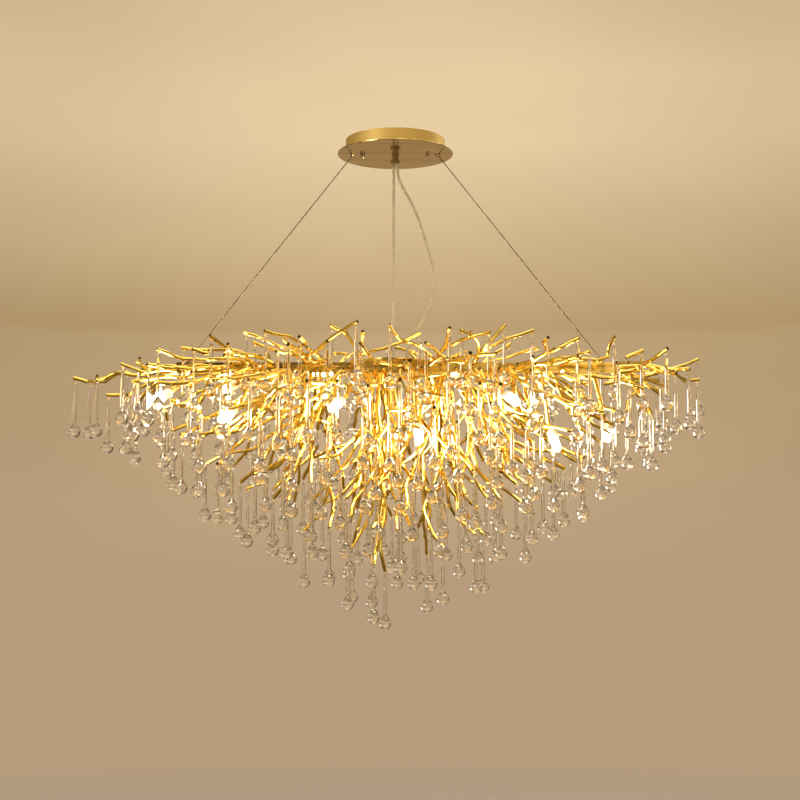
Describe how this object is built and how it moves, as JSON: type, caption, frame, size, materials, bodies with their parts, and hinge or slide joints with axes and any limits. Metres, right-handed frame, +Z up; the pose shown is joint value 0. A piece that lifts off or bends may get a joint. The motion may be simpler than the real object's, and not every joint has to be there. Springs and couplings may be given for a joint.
{
  "type": "oval glass drop chandelier",
  "caption": "Long oval ceiling chandelier: a gilt canopy and steel cables carry a spine of forked gold twigs hung with clear glass drops and capsule lamps.",
  "frame": {"origin": "middle of the ceiling face of the canopy bracket", "axes": "+Z up, +X along the long oval, -Y towards the room"},
  "size_m": [1.2051, 0.4773, 0.9301],
  "materials": {
    "satin_gold": "satin brushed gold plate",
    "bright_gold": "polished gold plate",
    "steel": "plain steel",
    "nickel": "nickel plate",
    "clear_glass": "clear polished glass",
    "lamp_glass": "lit warm glass",
    "clear_sleeve": "clear flexible plastic",
    "white_plastic": "moulded",
    "black_plastic": "moulded",
    "white_ceramic": "fired"
  },
  "bodies": {
    "canopy": {"ceiling_bracket": "steel", "canopy_drum": "satin_gold", "canopy_plate": "satin_gold", "canopy_studs": "steel", "canopy_cap_nuts": "nickel", "terminal_block": "white_plastic", "canopy_lead": "clear_sleeve", "cord_gland": "nickel", "gland_nut": "nickel", "supply_cord": "clear_sleeve"},
    "fixture": {"cable_anchors": "nickel", "cable_sleeve": "clear_sleeve", "cord_grommet": "black_plastic", "cover_screws": "steel", "crown_branches": "bright_gold", "crown_drops": "clear_glass", "hub_disc": "satin_gold", "jump_rings": "nickel", "lamp_arms": "bright_gold", "lamp_holders": "white_ceramic", "lower_branches": "bright_gold", "lower_drops": "clear_glass", "middle_branches": "bright_gold", "middle_drops": "clear_glass", "rim_branches": "bright_gold", "rim_drops": "clear_glass", "spine_cover": "satin_gold", "spine_tray": "satin_gold", "spine_wires": "black_plastic", "suspension_cables": "steel", "swivel_balls": "nickel", "upper_branches": "bright_gold", "upper_drops": "clear_glass"},
    "bulb_01": {"bulb_01": "lamp_glass"},
    "bulb_02": {"bulb_02": "lamp_glass"},
    "bulb_03": {"bulb_03": "lamp_glass"},
    "bulb_04": {"bulb_04": "lamp_glass"},
    "bulb_05": {"bulb_05": "lamp_glass"},
    "bulb_06": {"bulb_06": "lamp_glass"},
    "bulb_07": {"bulb_07": "lamp_glass"},
    "bulb_08": {"bulb_08": "lamp_glass"},
    "bulb_09": {"bulb_09": "lamp_glass"},
    "bulb_10": {"bulb_10": "lamp_glass"},
    "bulb_11": {"bulb_11": "lamp_glass"},
    "bulb_12": {"bulb_12": "lamp_glass"},
    "plunger_left": {"plunger_left": "nickel"},
    "plunger_right": {"plunger_right": "nickel"},
    "swinging_drop_01": {"swinging_drop_01": "clear_glass"},
    "swinging_drop_02": {"swinging_drop_02": "clear_glass"},
    "swinging_drop_03": {"swinging_drop_03": "clear_glass"},
    "swinging_drop_04": {"swinging_drop_04": "clear_glass"},
    "swinging_drop_05": {"swinging_drop_05": "clear_glass"},
    "swinging_drop_06": {"swinging_drop_06": "clear_glass"},
    "swinging_drop_07": {"swinging_drop_07": "clear_glass"},
    "swinging_drop_08": {"swinging_drop_08": "clear_glass"},
    "swinging_drop_09": {"swinging_drop_09": "clear_glass"},
    "swinging_drop_10": {"swinging_drop_10": "clear_glass"},
    "swinging_drop_11": {"swinging_drop_11": "clear_glass"},
    "swinging_drop_12": {"swinging_drop_12": "clear_glass"},
    "swinging_drop_13": {"swinging_drop_13": "clear_glass"}
  },
  "joints": [
    {"name": "suspension_sway", "type": "hinge", "parent": "canopy", "child": "fixture", "pos_m": [0, 0, -0.0246], "axis": [1, 0, 0], "range_deg": [-5, 5], "deforming": ["supply_cord"]},
    {"name": "bulb_01_pull", "type": "slide", "parent": "fixture", "child": "bulb_01", "axis": [-0.4968, -0.7731, -0.3944], "range_m": [0, 0.014]},
    {"name": "bulb_02_pull", "type": "slide", "parent": "fixture", "child": "bulb_02", "axis": [-0.4714, 0.8806, -0.0483], "range_m": [0, 0.014]},
    {"name": "bulb_03_pull", "type": "slide", "parent": "fixture", "child": "bulb_03", "axis": [-0.3323, -0.8494, -0.41], "range_m": [0, 0.014]},
    {"name": "bulb_04_pull", "type": "slide", "parent": "fixture", "child": "bulb_04", "axis": [-0.2238, 0.9492, -0.2213], "range_m": [0, 0.014]},
    {"name": "bulb_05_pull", "type": "slide", "parent": "fixture", "child": "bulb_05", "axis": [-0.284, -0.8967, -0.3394], "range_m": [0, 0.014]},
    {"name": "bulb_06_pull", "type": "slide", "parent": "fixture", "child": "bulb_06", "axis": [0.1249, 0.8851, -0.4483], "range_m": [0, 0.014]},
    {"name": "bulb_07_pull", "type": "slide", "parent": "fixture", "child": "bulb_07", "axis": [0.0563, -0.8575, -0.5113], "range_m": [0, 0.014]},
    {"name": "bulb_08_pull", "type": "slide", "parent": "fixture", "child": "bulb_08", "axis": [0.199, 0.9499, -0.2409], "range_m": [0, 0.014]},
    {"name": "bulb_09_pull", "type": "slide", "parent": "fixture", "child": "bulb_09", "axis": [0.2628, -0.8984, -0.3519], "range_m": [0, 0.014]},
    {"name": "bulb_10_pull", "type": "slide", "parent": "fixture", "child": "bulb_10", "axis": [0.3758, 0.9138, -0.1542], "range_m": [0, 0.014]},
    {"name": "bulb_11_pull", "type": "slide", "parent": "fixture", "child": "bulb_11", "axis": [0.1147, -0.8107, -0.5741], "range_m": [0, 0.014]},
    {"name": "bulb_12_pull", "type": "slide", "parent": "fixture", "child": "bulb_12", "axis": [0.2046, 0.7837, -0.5864], "range_m": [0, 0.014]},
    {"name": "plunger_left_press", "type": "slide", "parent": "fixture", "child": "plunger_left", "axis": [0.6144, 0, 0.789], "range_m": [0, 0.002], "stiffness_N_per_m": 300, "springref_m": -0.001},
    {"name": "plunger_right_press", "type": "slide", "parent": "fixture", "child": "plunger_right", "axis": [-0.6144, 0, 0.789], "range_m": [0, 0.002], "stiffness_N_per_m": 300, "springref_m": -0.001},
    {"name": "swinging_drop_01_sway", "type": "hinge", "parent": "fixture", "child": "swinging_drop_01", "pos_m": [0.42952, 0.15173, -0.46097], "axis": [0.3822, -0.9241, 0], "range_deg": [-20, 20]},
    {"name": "swinging_drop_02_sway", "type": "hinge", "parent": "fixture", "child": "swinging_drop_02", "pos_m": [-0.1934, 0.19252, -0.43563], "axis": [0.9429, 0.3331, 0], "range_deg": [-20, 20]},
    {"name": "swinging_drop_03_sway", "type": "hinge", "parent": "fixture", "child": "swinging_drop_03", "pos_m": [-0.60154, -0.01352, -0.47247], "axis": [-0.0731, 0.9973, 0], "range_deg": [-20, 20]},
    {"name": "swinging_drop_04_sway", "type": "hinge", "parent": "fixture", "child": "swinging_drop_04", "pos_m": [0.13199, -0.22124, -0.45414], "axis": [-0.9939, -0.1105, 0], "range_deg": [-20, 20]},
    {"name": "swinging_drop_05_sway", "type": "hinge", "parent": "fixture", "child": "swinging_drop_05", "pos_m": [0.26813, 0.14419, -0.52479], "axis": [0.3977, -0.9175, 0], "range_deg": [-20, 20]},
    {"name": "swinging_drop_06_sway", "type": "hinge", "parent": "fixture", "child": "swinging_drop_06", "pos_m": [-0.3269, 0.12373, -0.55504], "axis": [0.3915, 0.9202, 0], "range_deg": [-20, 20]},
    {"name": "swinging_drop_07_sway", "type": "hinge", "parent": "fixture", "child": "swinging_drop_07", "pos_m": [-0.0561, -0.17721, -0.54721], "axis": [-0.9543, 0.2989, 0], "range_deg": [-20, 20]},
    {"name": "swinging_drop_08_sway", "type": "hinge", "parent": "fixture", "child": "swinging_drop_08", "pos_m": [-0.08101, 0.12943, -0.62904], "axis": [0.9712, 0.2384, 0], "range_deg": [-20, 20]},
    {"name": "swinging_drop_09_sway", "type": "hinge", "parent": "fixture", "child": "swinging_drop_09", "pos_m": [0.06696, -0.13988, -0.60258], "axis": [-0.9994, 0.0353, 0], "range_deg": [-20, 20]},
    {"name": "swinging_drop_10_sway", "type": "hinge", "parent": "fixture", "child": "swinging_drop_10", "pos_m": [-0.07303, 0.07559, -0.70879], "axis": [0.9558, 0.2941, 0], "range_deg": [-20, 20]},
    {"name": "swinging_drop_11_sway", "type": "hinge", "parent": "fixture", "child": "swinging_drop_11", "pos_m": [0.01061, -0.06594, -0.72544], "axis": [-0.91, 0.4147, 0], "range_deg": [-20, 20]},
    {"name": "swinging_drop_12_sway", "type": "hinge", "parent": "fixture", "child": "swinging_drop_12", "pos_m": [0.08879, -0.01006, -0.78366], "axis": [0.0628, -0.998, 0], "range_deg": [-20, 20]},
    {"name": "swinging_drop_13_sway", "type": "hinge", "parent": "fixture", "child": "swinging_drop_13", "pos_m": [-0.01868, 0.03388, -0.82917], "axis": [0.8317, -0.5553, 0], "range_deg": [-20, 20]}
  ]
}
